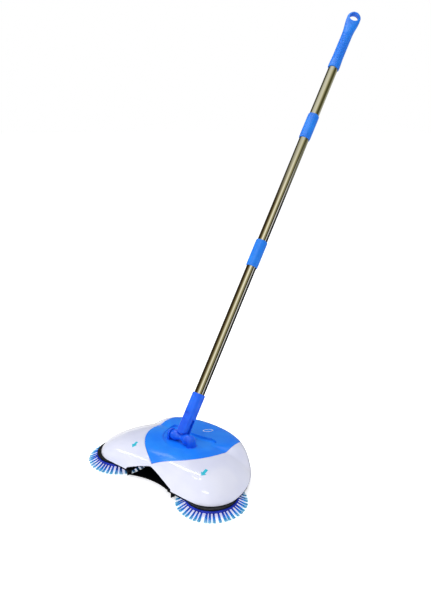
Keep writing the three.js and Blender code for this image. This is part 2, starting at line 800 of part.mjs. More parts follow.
const plugHalf = 26;
const plugBore = 6.5;
const collarHalf = 1.5;
function threadPlug(middle) {
  const thread = drum(0, 0, middle - plugHalf, middle + plugHalf, tubeR - tubeWall - gap, 16);
  const collar = drum(0, 0, middle - collarHalf, middle + collarHalf, tubeR, 16);
  return thread.add(collar).subtract(drum(0, 0, middle - 40, middle + 40, plugBore, 16));
}

const middleOf = ([z0, z1]) => (z0 + z1) / 2;

// The grip is round, then flattens front to back and widens into a ring for hanging.
const gripR = 12.4;
const gripThin = 3.6; // how much thinner it is at the eye
const gripBore = 1012;
const gripTurn = 35; // degrees that the eye is turned towards the right
function grip() {
  const neck = [gripBottom, gripBottom + 2, 930, 990, 1004, 1014, 1024, 1034];
  const roundTop = [6, 11, 14.4, 15.7].map((rise) => eyeAt + rise);
  const rings = [...neck, ...roundTop].map((z) => {
    const flare = smooth(990, eyeAt - 4, z);
    const cap = Math.sqrt(1 - (Math.max(0, z - eyeAt) / eyeR) ** 2);
    const shoulder = z < gripBottom + 1 ? 0.9 : 0;
    const thick = gripR + smooth(930, 900, z) - shoulder;
    const wide = (thick + (eyeR - gripR) * flare) * cap;
    const deep = (thick - gripThin * flare) * Math.sqrt(cap);
    const squared = (value) => Math.sign(value) * Math.abs(value) ** (1 - 0.25 * flare);
    const ring = [];
    for (let i = 0; i < 24; i++) {
      const a = (i * 2 * Math.PI) / 24;
      ring.push(v3(wide * squared(Math.cos(a)), deep * squared(Math.sin(a)), z));
    }
    return ring;
  });
  return loft(rings)
    .subtract(peg(eyeAt, eyeHole, 60, 32))
    .subtract(drum(0, 0, 800, gripBore, tubeR + gap, 32))
    .rotate([0, 0, gripTurn]);
}

// ---- assembly ----
place("upper_shell", upperShell(), whiteShell);
place("top_cover", topCover(), skyBlue);
place("base_plate", basePlate(), black);
place("floor_lip", floorLip(), black);
place("dust_tray", dustTray(), black);
place("tray_latch", trayLatch(), deepBlue);
place("latch_spring", latchSpring(), steel);
place("pivot_bracket", pivotBracket(), deepBlue);
place("tilt_pin", bar(-29.6, 29.6, tiltY, tiltZ, 2.5, 16), steel);
baseScrewAt.forEach(([x, y], i) => {
  place(`base_screw_${i + 1}`, screw(15.2 - gap, 12).translate([x, y, 0]), steel);
});
bracketScrewAt.forEach(([x, y], i) => {
  place(`bracket_screw_${i + 1}`, screw(bracketZ - gap, 6.5).translate([x, y, 0]), steel);
});

for (const { name, s } of sides) {
  place(`rear_glide_${name}`, rearGlide(s), rubber);
  place(`wheel_axle_${name}`, bar(s * 51.6, s * 119, wheelY, axleZ, axleR, 16), steel);
  place(`wheel_hub_${name}`, wheelHub().translate([s * wheelX, wheelY, axleZ]), deepBlue);
  place(`tyre_${name}`, tyre().translate([s * wheelX, wheelY, axleZ]), rubber);
  place(`drive_pinion_${name}`, drivePinion(s), acetal);
  place(`crown_gear_${name}`, crownGear(s), acetal);
  place(`crown_pin_${name}`, drum(s * crownX, wheelY, 28, pinTop, pinR, 16), steel);
  place(`idler_gear_${name}`, idlerGear(s), acetal);
  place(`idler_pin_${name}`, drum(s * idlerX, idlerY, 30, pinTop, pinR, 16), steel);
  place(`brush_gear_${name}`, brushGear(s), acetal);
  place(`gear_plate_${name}`, gearPlate(s), black);
  place(`brush_shaft_${name}`, brushShaft(s), steel);
  place(`brush_bush_${name}`, brushBush(s), acetal);
  place(`brush_hub_${name}`, brushHub().translate([s * brushX, 0, 0]), deepBlue);
  place(`bristles_${name}`, bristleRing().translate([s * brushX, 0, 0]), bristleBlue);
  place(`brush_screw_${name}`, screw(7.7, 10, 5).translate([s * brushX, 0, 0]), steel);
}

const handle = new THREE.Group();
handle.position.set(0, tiltY, tiltZ);
handle.rotation.x = -lean;
sweeper.add(handle);
place("swivel_knuckle", swivelKnuckle(), deepBlue, handle);
place("fork_pin", peg(forkPin, 2.2, 18.6), deepBlue, handle);
place("handle_socket", handleSocket(), deepBlue, handle);
const tubeEnds = [58.6, middleOf(lowerJoint), middleOf(upperJoint), 1010];
["lower", "middle", "upper"].forEach((name, i) => {
  const start = tubeEnds[i] + (i > 0 ? collarHalf + gap : 0);
  const end = tubeEnds[i + 1] - (i < 2 ? collarHalf + gap : 0);
  place(`${name}_tube`, pipe(start, end, tubeR, tubeR - tubeWall), steel, handle);
});
place("lower_coupler", pipe(...lowerJoint, sleeveR, tubeR + gap), gripBlue, handle);
place("upper_coupler", pipe(...upperJoint, sleeveR, tubeR + gap), gripBlue, handle);
place("lower_thread_plug", threadPlug(middleOf(lowerJoint)), acetal, handle);
place("upper_thread_plug", threadPlug(middleOf(upperJoint)), acetal, handle);
place("grip", grip(), gripBlue, handle);

export default sweeper;
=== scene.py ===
import json
from math import cos, pi, radians, sin

import bmesh
import bpy
import numpy as np
from mathutils import Euler, Matrix, Vector

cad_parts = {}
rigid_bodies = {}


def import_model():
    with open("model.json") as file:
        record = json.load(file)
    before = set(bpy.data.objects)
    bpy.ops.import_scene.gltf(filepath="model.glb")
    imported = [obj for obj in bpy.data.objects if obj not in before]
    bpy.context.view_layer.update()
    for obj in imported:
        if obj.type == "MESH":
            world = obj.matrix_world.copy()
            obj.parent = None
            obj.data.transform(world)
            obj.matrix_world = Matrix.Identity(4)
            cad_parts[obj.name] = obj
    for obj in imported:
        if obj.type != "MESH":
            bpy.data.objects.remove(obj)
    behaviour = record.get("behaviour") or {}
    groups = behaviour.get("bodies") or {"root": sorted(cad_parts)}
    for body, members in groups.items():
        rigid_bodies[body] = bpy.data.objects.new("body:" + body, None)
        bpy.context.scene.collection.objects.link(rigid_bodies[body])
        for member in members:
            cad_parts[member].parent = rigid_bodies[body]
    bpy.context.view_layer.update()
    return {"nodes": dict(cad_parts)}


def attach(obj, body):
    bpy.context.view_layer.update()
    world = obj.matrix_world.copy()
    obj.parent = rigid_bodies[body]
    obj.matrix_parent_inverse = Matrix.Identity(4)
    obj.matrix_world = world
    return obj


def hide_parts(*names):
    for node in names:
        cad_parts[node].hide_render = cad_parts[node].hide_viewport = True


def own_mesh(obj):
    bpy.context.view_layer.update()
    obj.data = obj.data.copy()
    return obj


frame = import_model()
mm = 0.001  # shapes below are worked out in millimetres, meshes are in metres


def smooth(low, high, value):
    # 0 below low, 1 above high, an S curve between them
    t = np.clip((value - low) / (high - low), 0, 1)
    return t * t * (3 - 2 * t)


def gridFaces(rows, columns, wrapRows=False, wrapColumns=False):
    # one quad between each four neighbouring points of a rows x columns grid
    i = np.arange(rows if wrapRows else rows - 1)[:, None]
    j = np.arange(columns if wrapColumns else columns - 1)[None, :]
    nextI, nextJ = (i + 1) % rows, (j + 1) % columns
    corners = [i * columns + j, i * columns + nextJ, nextI * columns + nextJ, nextI * columns + j]
    return np.stack(corners, -1).reshape(-1, 4)


def finishMesh(obj, sharp=35):
    # merges doubles at poles and seams, turns faces outwards, shades smooth up to an angle
    work = bmesh.new()
    work.from_mesh(obj.data)
    bmesh.ops.remove_doubles(work, verts=work.verts, dist=2e-6)
    bmesh.ops.recalc_face_normals(work, faces=work.faces)
    work.to_mesh(obj.data)
    work.free()
    obj.data.shade_smooth()
    obj.data.set_sharp_from_angle(angle=radians(sharp))


def newObject(name, points, faces):
    # an object in the scene from points in metres
    mesh = bpy.data.meshes.new(name)
    mesh.from_pydata(points.tolist(), [], faces)
    obj = bpy.data.objects.new(name, mesh)
    bpy.context.collection.objects.link(obj)
    return obj


def meshPiece(name, points, faces, material, body, stands=(), sharp=35):
    # a piece from points in millimetres; stands names the CAD nodes it is shown for
    points = np.asarray(points, float).reshape(-1, 3) * mm
    obj = newObject(name, points, np.asarray(faces).tolist())
    finishMesh(obj, sharp)
    obj.data.materials.append(material)
    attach(obj, body)
    if stands:
        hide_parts(*stands)
    return obj


def nodeCopy(node, name, material, body, bevel=0.0, sharp=32):
    # a merged copy of a CAD node, shaded smooth, its edges broken by a small moulded radius (mm)
    source = frame["nodes"][node]
    obj = bpy.data.objects.new(name, source.data.copy())
    bpy.context.collection.objects.link(obj)
    obj.data.materials.clear()
    work = bmesh.new()
    work.from_mesh(obj.data)
    bmesh.ops.remove_doubles(work, verts=work.verts, dist=5e-6)
    bmesh.ops.dissolve_degenerate(work, edges=work.edges, dist=1e-6)
    work.to_mesh(obj.data)
    work.free()
    obj.data.materials.append(material)
    obj.data.shade_smooth()
    obj.data.set_sharp_from_angle(angle=radians(sharp))
    if bevel:
        edge = obj.modifiers.new("brokenEdge", "BEVEL")
        edge.width = bevel * mm
        edge.segments = 2
        edge.limit_method = "ANGLE"
        edge.angle_limit = radians(sharp)
        edge.harden_normals = True
    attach(obj, body)
    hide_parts(node)
    return obj


def linear(hexColour):
    # an sRGB hex value as linear light
    parts = [int(hexColour[i:i + 2], 16) / 255 for i in (1, 3, 5)]
    return tuple(c / 12.92 if c <= 0.04045 else ((c + 0.055) / 1.055) ** 2.4 for c in parts) + (1,)


def addNode(material, kind, settings=None, links=None):
    # one shader node with its properties or socket values, and the sockets that feed it
    node = material.node_tree.nodes.new("ShaderNode" + kind)
    for key, value in (settings or {}).items():
        if isinstance(key, int) or key in node.inputs:
            node.inputs[key].default_value = value
        else:
            setattr(node, key, value)
    for key, source in (links or {}).items():
        material.node_tree.links.new(source, node.inputs[key])
    return node


def colourRamp(material, source, stops):
    # a ramp of (position, sRGB colour) stops
    ramp = addNode(material, "ValToRGB", None, {"Fac": source})
    elements = ramp.color_ramp.elements
    elements.remove(elements[1])
    for i, (position, colour) in enumerate(stops):
        element = elements.new(position) if i else elements[0]
        element.position, element.color = position, linear(colour)
    return ramp.outputs[0]


def newMaterial(name, settings):
    # a material with constants on its shader's sockets, its shader, and object coordinates
    material = bpy.data.materials.new(name)
    material.use_nodes = True
    shader = material.node_tree.nodes["Principled BSDF"]
    for key, value in settings.items():
        shader.inputs[key].default_value = value
    where = addNode(material, "TexCoord").outputs["Object"]
    return material, shader, where


def perMetre(sizeInMm):
    # noise scale whose grain is that many millimetres
    return 1000 / sizeInMm


def tint(material, shader, where, darker, lighter, size):
    # the base colour drifts softly between two shades over a real size
    grain = addNode(material, "TexNoise", {"Scale": perMetre(size), "Detail": 2.0}, {"Vector": where})
    spread = addNode(material, "MapRange", {"From Min": 0.35, "From Max": 0.65},
                     {"Value": grain.outputs[0]})
    mix = addNode(material, "Mix", {"data_type": "RGBA", 6: linear(darker), 7: linear(lighter)},
                  {0: spread.outputs[0]})
    material.node_tree.links.new(mix.outputs[2], shader.inputs["Base Color"])


def varyRoughness(material, shader, where, low, high, size):
    # the roughness drifts between two values over a real size
    grain = addNode(material, "TexNoise", {"Scale": perMetre(size), "Detail": 3.0}, {"Vector": where})
    spread = addNode(material, "MapRange", {"To Min": low, "To Max": high}, {"Value": grain.outputs[0]})
    material.node_tree.links.new(spread.outputs[0], shader.inputs["Roughness"])


def roughen(material, shader, where, size, depth, strength):
    # a bump of a real grain size and depth, both in millimetres
    grain = addNode(material, "TexNoise", {"Scale": perMetre(size), "Detail": 2.0}, {"Vector": where})
    bump = addNode(material, "Bump", {"Strength": strength, "Distance": depth * mm},
                   {"Height": grain.outputs[0]})
    material.node_tree.links.new(bump.outputs[0], shader.inputs["Normal"])


def colourAlong(material, shader, where, stops, fleckSize, fleck):
    # the colour runs from the root of a filament to its tip, the pale tips being painted light; its
    # brightness flecks by a share
    along = addNode(material, "Attribute", {"attribute_name": "along"})
    ramp = colourRamp(material, along.outputs["Fac"], stops)
    noise = addNode(material, "TexNoise", {"Scale": perMetre(fleckSize)}, {"Vector": where})
    value = addNode(material, "MapRange", {"To Min": 1 - fleck, "To Max": 1 + fleck},
                    {"Value": noise.outputs[0]})
    shift = addNode(material, "HueSaturation", {"Saturation": 1.0},
                    {"Color": ramp, "Value": value.outputs[0]})
    material.node_tree.links.new(shift.outputs[0], shader.inputs["Base Color"])


# tint: two sRGB colours; rough: low and high; bump: depth in mm and strength after its grain;
# every grain size is in mm
finishes = {
    # ABS moulded in a polished tool, with the faint long waves of a thin wall
    "white": {"name": "glossWhiteAbs",
              "base": {"IOR": 1.53, "Coat Weight": 0.5, "Coat Roughness": 0.03},
              "tint": ("#e0e2f4", "#e9eaf7", 70), "rough": (0.12, 0.18, 9), "bump": (34, 0.05, 0.6)},
    # ABS coloured right through, same polish
    "cover": {"name": "glossSkyBlueAbs",
              "base": {"IOR": 1.53, "Coat Weight": 0.4, "Coat Roughness": 0.04},
              "tint": ("#0f80fb", "#2292ff", 55), "rough": (0.2, 0.3, 8), "bump": (30, 0.05, 0.6)},
    # polypropylene joint parts: slightly waxy, deeper blue
    "deepBlue": {"name": "satinDeepBluePolypropylene", "base": {"IOR": 1.49, "Coat Weight": 0.15},
                 "tint": ("#0858e6", "#106cf6", 24), "rough": (0.26, 0.38, 5),
                 "bump": (1.6, 0.02, 0.5)},
    # the brush hubs: the same plastic, darkened as painted shade
    "hubPaintedShade": {"name": "satinNavyPolypropylene", "base": {"IOR": 1.49},
             "tint": ("#0623a4", "#0a30c4", 12), "rough": (0.3, 0.42, 5)},
    # polypropylene with a fine spark-eroded grain: soft wide highlight
    "grip": {"name": "grainedBluePolypropylene", "base": {"IOR": 1.49},
             "tint": ("#0a70dc", "#127fe8", 30), "rough": (0.36, 0.5, 4), "bump": (1.2, 0.015, 0.4)},
    # black ABS from an etched tool: dull
    "black": {"name": "etchedBlackAbs", "base": {"IOR": 1.45},
              "tint": ("#050608", "#0b0c10", 12), "rough": (0.34, 0.5, 3), "bump": (0.9, 0.03, 0.7)},
    # acetal gears: milky and slippery
    "acetal": {"name": "naturalAcetal", "base": {"IOR": 1.48, "Subsurface Weight": 0.15,
                                                 "Subsurface Radius": (0.002, 0.002, 0.0015)},
               "tint": ("#e6e4da", "#f1efe6", 10), "rough": (0.3, 0.42, 3)},
    # welded stainless tube, mirror polished; drawn is how far its faint lines stretch along it
    "tube": {"name": "polishedStainlessTube", "base": {"Metallic": 1.0}, "drawn": 60,
             "tint": ("#dcd8cc", "#efece2", 3), "rough": (0.02, 0.05, 1.2)},
    # zinc-plated steel: grey with cloudy plating
    "steel": {"name": "zincPlatedSteel", "base": {"Metallic": 1.0},
              "tint": ("#9a9ca0", "#c0c2c6", 4), "rough": (0.22, 0.4, 2)},
    # moulded rubber: dull black
    "rubber": {"name": "mouldedRubber", "base": {"IOR": 1.5},
               "tint": ("#141414", "#242422", 6), "rough": (0.62, 0.8, 2), "bump": (0.8, 0.05, 0.7)},
    # nylon filament, dyed blue: the colour runs darker at the root, and the tips are painted pale and
    # cyan as painted light, for the light that runs down it
    "nylon": {"name": "blueNylonFilament",
              "base": {"IOR": 1.53, "Roughness": 0.3, "Transmission Weight": 0.12},
              "along": ([(0.0, "#0a1f9a"), (0.2, "#0a3ad6"), (0.45, "#0f78f4"), (0.72, "#30b0f6"),
                         (1.0, "#86defa")], 2.5, 0.25)},
    # pad-printed ink: a thin even film with a slight sheen, in teal and in off-white
    "ink": {"name": "tealPadPrintInk", "base": {"IOR": 1.48},
            "tint": ("#10b4cc", "#18c2da", 3), "rough": (0.3, 0.4, 1)},
    "paleInk": {"name": "whitePadPrintInk", "base": {"IOR": 1.48},
                "tint": ("#cfe0f0", "#e6f0f8", 3), "rough": (0.3, 0.4, 1)},
}


def makeMaterials():
    steps = {"tint": tint, "rough": varyRoughness, "bump": roughen, "along": colourAlong}
    made = {}
    for key, finish in finishes.items():
        material, shader, where = newMaterial(finish["name"], finish["base"])
        if "drawn" in finish:
            where = addNode(material, "Mapping",
                            {"vector_type": "TEXTURE", "Rotation": (-radians(handle["lean"]), 0, 0),
                             "Scale": (1, 1, finish["drawn"])}, {"Vector": where}).outputs[0]
        for step, apply in steps.items():
            if step in finish:
                apply(material, shader, where, *finish[step])
        made[key] = material
    return made


# sizes below are in mm and degrees; the front is towards -Y
handle = {
    "tiltY": 52.0, "tiltZ": 68.0,   # tilt axis
    "lean": 36.66,                  # back from upright
    "tubeR": 11.0, "sleeveR": 12.9,
    "lowerJoint": (386.0, 448.0), "upperJoint": (706.0, 768.0),
    "tubeStart": 58.6, "tubeEnd": 1010.0, "tubeWall": 0.4,
    "edgeAlong": 0.15, "edgeIn": 0.1,   # broken edge at the end of a tube
    "collarHalf": 1.8,              # half gap between tube ends
    "play": 0.25,                   # between a tube and what holds it
}
mats = makeMaterials()
print("materials made:", len(mats))


head = {
    "frontY": -46.5, "wingX": 112.5, "wingR": 58.0, "flankR": 150.0, "flankAngle": 55.0,
    "rearY": 168.0, "rearHalf": 45.0, "rearPull": 36.0,   # reach of the rear curve's two handles
    "rimZ": 16.5, "crownZ": 62.5, "crownDrop": 9.0, "crestY": 60.0,
    # powers of the dome: n on the flanks, more in front and at the rear; m, more at the rear
    "flankN": 3.0, "frontN": 3.5, "rearN": 13.0, "flankM": 1.5, "rearM": 1.5,
    "rearFrom": 0.24, "rearTo": 0.8,   # where the upright rear begins and is full, as a sine
    "wall": 2.2, "coverWall": 2.0, "roll": 0.5,            # thickness, rounding of the edges
    "archZ": 43.5, "archHalf": 61.0, "archFall": 21.5, "archPower": 1.28,   # mouth
    "doorHalf": 50.0, "doorFrom": 100.0, "splitZ": 38.5,   # tray door, bottom of the cover there
    "coverEdge": [(0, -34), (95, 12), (97.6, 68.6), (84, 147)],   # curve that ends the cover
    "seam": 0.3,
}


def bezier(p0, p1, p2, p3, t):
    # cubic curve of four plan points: (1-t)^3, 3(1-t)^2 t, 3(1-t) t^2 and t^3 parts of each
    p0, p1, p2, p3 = (np.array(p, float) for p in (p0, p1, p2, p3))
    t = np.asarray(t)[:, None]
    return (1 - t) ** 3 * p0 + 3 * (1 - t) ** 2 * t * p1 + 3 * (1 - t) * t * t * p2 + t ** 3 * p3


def halfOutline():
    # plan outline from the front middle round to the rear middle: line, corner arc, flank arc, curve
    cornerY = head["frontY"] + head["wingR"]
    flankX = head["wingX"] + head["wingR"] - head["flankR"]
    full = radians(head["flankAngle"])
    # columns crowd together where the ends of the mouth step down to the rim
    xs = np.concatenate([np.linspace(0, 57, 34), np.linspace(57.6, 63, 28),
                         np.linspace(64.5, head["wingX"], 22)])
    front = np.stack([xs, np.full_like(xs, head["frontY"])], -1)
    a = np.linspace(-pi / 2, 0, 44)[1:]
    corner = np.stack([head["wingX"] + head["wingR"] * np.cos(a),
                       cornerY + head["wingR"] * np.sin(a)], -1)
    a = np.linspace(0, full, 34)[1:]
    flank = np.stack([flankX + head["flankR"] * np.cos(a), cornerY + head["flankR"] * np.sin(a)], -1)
    end = flank[-1]
    bend = end + head["rearPull"] * np.array([-sin(full), cos(full)])
    # and again at the corner of the cover near the rear
    t = np.concatenate([np.linspace(0, 0.45, 60)[1:], np.linspace(0.456, 0.74, 44),
                        np.linspace(0.755, 1, 20)])
    rear = bezier(end, bend, (head["rearHalf"], head["rearY"]), (0, head["rearY"]), t)
    return np.concatenate([front, corner, flank, rear])


outline = halfOutline()
ways = np.arctan2(outline[:, 1] - head["crestY"], outline[:, 0])
outlineReach = np.hypot(outline[:, 0], outline[:, 1] - head["crestY"])


def reachOf(points):
    # distance from the crest to a curve of plan points, in each direction of the right half
    away = np.arctan2(points[:, 1] - head["crestY"], points[:, 0])
    reach = np.hypot(points[:, 0], points[:, 1] - head["crestY"])
    order = np.argsort(away)
    return np.interp(ways, away[order], reach[order])


def dome(way, share):
    # height share (1 - u^n)^(1/m) from crest to rim; full in front, sloped flanks, upright rear
    reach = np.interp(way, ways, outlineReach)
    rise = np.sin(way)
    front = np.maximum(0, -rise) ** 4
    rear = smooth(head["rearFrom"], head["rearTo"], rise)
    n = head["flankN"] + head["frontN"] * front + head["rearN"] * rear
    m = head["flankM"] + head["rearM"] * rear
    u = np.clip(share, 0, 1)
    x = reach * u * np.cos(way)
    y = head["crestY"] + reach * u * np.sin(way)
    crown = head["crownZ"] - head["crownDrop"] * smooth(30, 180, y)   # lower towards the rear
    z = head["rimZ"] + (crown - head["rimZ"]) * (1 - u ** n) ** (1 / m)
    return np.stack(np.broadcast_arrays(x, y, z), -1)


def edgeShare(way, edgeHeight):
    # share where the dome comes down to a height that depends on x and y, by halving
    low, high = np.full_like(way, 0.5), np.ones_like(way)
    for _ in range(30):
        middle = (low + high) / 2
        point = dome(way, middle)
        above = point[..., 2] > edgeHeight(point[..., 0], point[..., 1])
        low, high = np.where(above, middle, low), np.where(above, high, middle)
    return low


def lowerEdge(x, y):
    # rim height, raised over the mouth at the front: the arch falls as a power of x
    across = np.abs(x)
    arch = head["archZ"] - head["archFall"] * (across / (head["archHalf"] - 2)) ** head["archPower"]
    inMouth = 1 - smooth(head["archHalf"] - 1.2, head["archHalf"] + 0.6, across)
    raised = head["rimZ"] + np.maximum(0, arch - head["rimZ"]) * inMouth
    return np.where(y < 0, raised, head["rimZ"])


sideCurve = bezier(*head["coverEdge"], np.linspace(0, 1, 90))
sideCurve = np.concatenate([sideCurve, [(80, 198), (0, 198)]])   # carried on past the rear
rimShare = edgeShare(ways, lowerEdge)
splitShare = edgeShare(ways, lambda x, y: np.full_like(x, head["splitZ"]))
coverShare = np.minimum(reachOf(sideCurve) / outlineReach, splitShare)


def normalsOf(grid, wrapColumns):
    # unit normals of a grid of points from its two directions, pointing up and out
    alongRows = np.gradient(grid, axis=0)
    if wrapColumns:
        ring = np.concatenate([grid[:, -1:], grid, grid[:, :1]], 1)
        alongColumns = (ring[:, 2:] - ring[:, :-2]) / 2
    else:
        alongColumns = np.gradient(grid, axis=1)
    normal = np.cross(alongRows, alongColumns)
    length = np.linalg.norm(normal, axis=-1, keepdims=True)
    normal = normal / np.maximum(length, 1e-9)
    return normal * np.where(normal[..., 2:].sum() < 0, -1, 1)


def both(values):
    # values of the right half, then the left half back to the start
    return np.concatenate([values, values[::-1][1:-1]])


def ringGrid(shares):
    # dome points all round, from shares of the right half (rows x columns)
    right = dome(ways[None, :], shares)
    left = right[:, ::-1][:, 1:-1] * np.array([-1, 1, 1])
    return np.concatenate([right, left], 1)


def rolledEdge(edge, before, normal, wall):
    # three rows that round an open edge: on past it, and down through the wall
    away = edge - before
    away = away / np.linalg.norm(away, axis=-1, keepdims=True)
    roll = head["roll"]
    return np.stack([edge + away * roll * 0.7 - normal * roll * 0.3,
                     edge + away * roll - normal * roll,
                     edge + away * roll - normal * (wall - roll)])


def section(outer, wall, ring, rollStart):
    # outer skin, a rounded edge, the inner skin at the wall's depth, and a rounded edge at the start
    normal = normalsOf(outer, ring)
    inner = outer - normal * wall
    rows = [outer, rolledEdge(outer[-1], outer[-2], normal[-1], wall), inner[::-1]]
    if rollStart:
        rows.append(rolledEdge(outer[0], outer[1], normal[0], wall)[::-1])
    return np.concatenate(rows), inner


def upperShell():
    # the white shell runs from the cover's edge to the rim; its rows crowd towards the rim
    first = coverShare + (head["seam"] / 2 + head["roll"]) / outlineReach
    last = rimShare - head["roll"] * 0.35 / outlineReach
    steps = 1 - (1 - np.linspace(0, 1, 56)) ** 2.2
    door = (outline[:, 1] > head["doorFrom"]) & (outline[:, 0] < head["doorHalf"])
    shares = first[None, :] + (last - first)[None, :] * steps[:, None]
    right = dome(ways[None, :], shares)[:, ~door]
    left = right[:, ::-1][:, :-1] * np.array([-1, 1, 1])
    outer = np.concatenate([left, right], 1)
    grid, inner = section(outer, head["wall"], ring=False, rollStart=True)
    # both ends at the tray door close on the wall's middle line
    count = len(outer)
    depth = np.concatenate([np.arange(count), [count - 1] * 3, np.arange(count)[::-1], [0] * 3])
    middle = (outer + inner) / 2
    grid = np.concatenate([middle[depth, :1], grid, middle[depth, -1:]], 1)
    return meshPiece("upperShell", grid, gridFaces(*grid.shape[:2], wrapRows=True), mats["white"],
                     "body", ["upper_shell"])


pocket = {
    "half": 57.0, "front": 66.0, "wide": 88.0,   # front arc: half width, depth, where it is widest
    "rear": 90.5, "rearX": 38.0, "rearBow": 11.5, "bowX": 42.0,
    "floorZ": 57.0, "fall": 0.075, "pivotY": 55.0, "wallRun": 1.6,
}


def topCover():
    # the cover is the dome inside its edge, with a shallow pocket whose floor is a tilted plane
    a = np.linspace(-pi / 2, 0.1, 60)
    front = np.stack([pocket["half"] * np.cos(a), pocket["wide"] + pocket["front"] * np.sin(a)], -1)
    x = np.linspace(pocket["rearX"], 0, 20)
    rear = np.stack([x, pocket["rear"] + pocket["rearBow"] * (x / pocket["bowX"]) ** 2], -1)
    reach = reachOf(np.concatenate([front, rear]))
    last = coverShare - (head["seam"] / 2 + head["roll"]) / outlineReach
    inside = (reach - 0.3) / outlineReach
    outside = np.minimum((reach + pocket["wallRun"] + 0.4) / outlineReach, last * 0.995)
    # rows over the pocket floor, up its wall, and out to the edge
    bands = [np.linspace(0, 1, 14)[:-1, None] * inside,
             inside + np.linspace(0, 1, 12)[:-1, None] * (outside - inside),
             outside + np.linspace(0, 1, 44)[:, None] * (last - outside)]
    outer = ringGrid(np.concatenate(bands))
    away = np.hypot(outer[..., 0], outer[..., 1] - head["crestY"])
    floor = pocket["floorZ"] - pocket["fall"] * (outer[..., 1] - pocket["pivotY"])
    rise = smooth(-0.2, pocket["wallRun"], away - both(reach)[None, :])
    sunk = np.minimum(outer[..., 2], floor + (outer[..., 2] - floor) * rise)
    outer[..., 2] = np.where(rise < 1, sunk, outer[..., 2])
    grid, _ = section(outer, head["coverWall"], ring=True, rollStart=False)
    return meshPiece("topCover", grid, gridFaces(*grid.shape[:2], wrapColumns=True), mats["cover"],
                     "body", ["top_cover"])


upperShell()
topCover()
print("head shells made")


nodeCopy("base_plate", "basePlate", mats["black"], "body", 0.25)
nodeCopy("floor_lip", "floorLip", mats["black"], "body", 0.3)
nodeCopy("dust_tray", "dustTray", mats["black"], "tray", 0.3)
nodeCopy("tray_latch", "trayLatch", mats["deepBlue"], "latch", 0.4)


def latchSpring():
    # the coil under the latch button: a steel copy of its node on the tray, with a mesh of its own
    obj = nodeCopy("latch_spring", "latchSpring", mats["steel"], "tray")
    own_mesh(obj)


latchSpring()


ears = {
    "inner": 24.4, "radius": 11.0, "baseZ": 47.0,
    "reach": 10.2, "reachMore": 1.3,   # how far the round face stands out, and more at the foot
    "half": 11.0, "halfMore": 1.6,     # half its length, and more at the foot
    "floorZ": 57.2, "flare": 1.6, "flareRun": 1.2,
    "plateX": 48.0, "plateY": (38.0, 66.0), "plateTop": 50.0,
}


def ear(side):
    # D-shaped sections stacked upwards: flat inside face, round outside, closing in a dome;
    # the foot flares into the pocket floor
    axisZ = handle["tiltZ"]
    domed = axisZ + ears["radius"] * np.sin(np.linspace(0, pi / 2, 18))[1:]
    zs = np.concatenate([np.linspace(ears["baseZ"], axisZ, 26), domed])
    above = np.maximum(0, zs - axisZ) / ears["radius"]
    below = np.maximum(0, axisZ - zs) / (axisZ - ears["baseZ"])
    crown = np.sqrt(np.maximum(0, 1 - above ** 2))
    flare = ears["flare"] * np.exp(-np.maximum(0, zs - ears["floorZ"]) / ears["flareRun"])
    a = np.linspace(-pi / 2, pi / 2, 34)
    reach = (ears["reach"] + ears["reachMore"] * below) * crown + flare
    half = (ears["half"] + ears["halfMore"] * below) * crown + flare
    x = ears["inner"] + reach[:, None] * np.maximum(np.cos(a), 0) ** 0.8
    y = handle["tiltY"] + half[:, None] * np.sin(a)
    grid = np.stack([x * side, y, np.broadcast_to(zs[:, None], x.shape)], -1)
    flat = grid[:, ::-1].copy()[:, 1:-1]
    flat[..., 0] = ears["inner"] * side
    ring = np.concatenate([grid, flat], 1)
    foot = ring[0].mean(0) * np.ones_like(ring[:1])
    top = ring[-1].mean(0) * np.ones_like(ring[:1])
    return np.concatenate([foot, ring, top])


def pivotBracket():
    # both ears, and the plate under the cover that carries them
    right, left = ear(1), ear(-1)
    faces = gridFaces(*right.shape[:2], wrapColumns=True)
    count = right.shape[0] * right.shape[1]
    half, (near, far) = ears["plateX"], ears["plateY"]
    corners = ((-half, near), (half, near), (half, far), (-half, far))
    plate = np.array([(x, y, z) for z in (ears["baseZ"], ears["plateTop"]) for x, y in corners])
    plateFaces = np.array([(0, 3, 2, 1), (4, 5, 6, 7), (0, 1, 5, 4), (1, 2, 6, 5), (2, 3, 7, 6),
                           (3, 0, 4, 7)])
    points = np.concatenate([right.reshape(-1, 3), left.reshape(-1, 3), plate])
    return meshPiece("pivotBracket", points,
                     np.concatenate([faces, faces + count, plateFaces + 2 * count]),
                     mats["deepBlue"], "body", ["pivot_bracket"], sharp=50)


pivotBracket()
nodeCopy("swivel_knuckle", "swivelKnuckle", mats["deepBlue"], "knuckle", 0.6)
nodeCopy("handle_socket", "handleSocket", mats["deepBlue"], "handle", 0.6)
print("handle joint made")


lean = radians(handle["lean"])


def onHandle(points):
    # from (x, forward-up, along) of the handle to the row frame
    x, n, s = points[..., 0], points[..., 1], points[..., 2]
    y = handle["tiltY"] + s * sin(lean) - n * cos(lean)
    z = handle["tiltZ"] + s * cos(lean) + n * sin(lean)
    return np.stack([x, y, z], -1)


def aboutHandle(points, degrees):
    # points of the handle turned about its own axis
    c, s = cos(radians(degrees)), sin(radians(degrees))
    x, n = points[..., 0], points[..., 1]
    return np.stack([x * c - n * s, x * s + n * c, points[..., 2]], -1)


def turnedOnHandle(profile, columns=64):
    # a closed profile of (radius, along) points turned about the handle's axis
    profile = np.asarray(profile, float)
    a = np.linspace(0, 2 * pi, columns, endpoint=False)
    r, s = profile[:, :1], profile[:, 1:]
    along = np.broadcast_to(s, (len(profile), columns))
    return onHandle(np.stack([r * np.cos(a), r * np.sin(a), along], -1))


